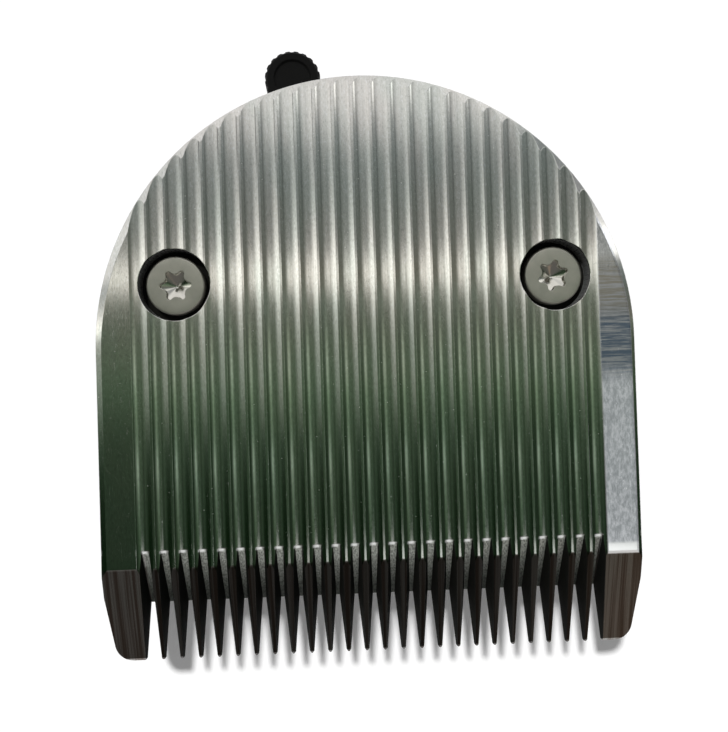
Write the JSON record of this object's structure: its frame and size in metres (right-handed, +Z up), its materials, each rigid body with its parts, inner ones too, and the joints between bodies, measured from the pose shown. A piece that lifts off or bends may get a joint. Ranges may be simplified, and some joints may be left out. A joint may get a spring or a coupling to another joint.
{
  "type": "clipper blade head",
  "caption": "Detachable clipper blade head: ribbed comb blade with a toothed front, a sliding cutter behind it, a plastic base and a cutting-length lever with a round knob.",
  "frame": {"origin": "centre of the drive bore in the seat plane under the base; also the centre of the blade's rear arc and the lever's axis", "axes": "+Z up from the seat plane to the ribbed skin side of the comb, -Y the way the teeth point, +X to the right as the ribbed side is seen with the teeth down"},
  "size_m": [0.0456, 0.054, 0.0126],
  "materials": {
    "comb_steel": "ground and polished stainless steel",
    "cutter_steel": "ground tool steel",
    "base_plastic": "black moulded plastic",
    "driver_plastic": "natural acetal",
    "carriage_plastic": "dark grey moulded plastic",
    "small_steel": "plain steel",
    "spring_steel": "tempered spring steel",
    "lever_steel": "stamped stainless steel",
    "screw_steel": "satin stainless steel",
    "insert_brass": "turned brass",
    "knob_plastic": "black moulded plastic"
  },
  "bodies": {
    "base": {"base_frame": "base_plastic", "comb_blade": "comb_steel", "comb_screw_left": "screw_steel", "comb_screw_right": "screw_steel", "thread_insert_left": "insert_brass", "thread_insert_right": "insert_brass", "lever_retaining_ring": "spring_steel", "detent_ball": "small_steel", "detent_spring": "spring_steel"},
    "lever": {"adjuster_lever": "lever_steel", "lever_knob": "knob_plastic", "knob_pin": "small_steel"},
    "carriage": {"carriage": "carriage_plastic", "guide_rail": "small_steel", "pressure_spring": "spring_steel", "spring_screw_left": "screw_steel", "spring_screw_right": "screw_steel", "cam_follower_pin": "small_steel"},
    "cutter": {"cutter_blade": "cutter_steel", "cutter_driver": "driver_plastic", "driver_rivet_left": "small_steel", "driver_rivet_right": "small_steel"}
  },
  "joints": [
    {"name": "lever_turn", "type": "hinge", "parent": "base", "child": "lever", "pos_m": [0, 0, 0.00185], "axis": [0, 0, 1], "range_deg": [-26.8, 0]},
    {"name": "carriage_slide", "type": "slide", "parent": "base", "child": "carriage", "axis": [0, -1, 0], "range_m": [0, 0.0022]},
    {"name": "cutter_slide", "type": "slide", "parent": "carriage", "child": "cutter", "axis": [1, 0, 0], "range_m": [-0.0015, 0.0015]}
  ],
  "couplings": [
    {"joint": "carriage_slide", "follows": "lever_turn", "m_per_rad": -0.0047}
  ]
}
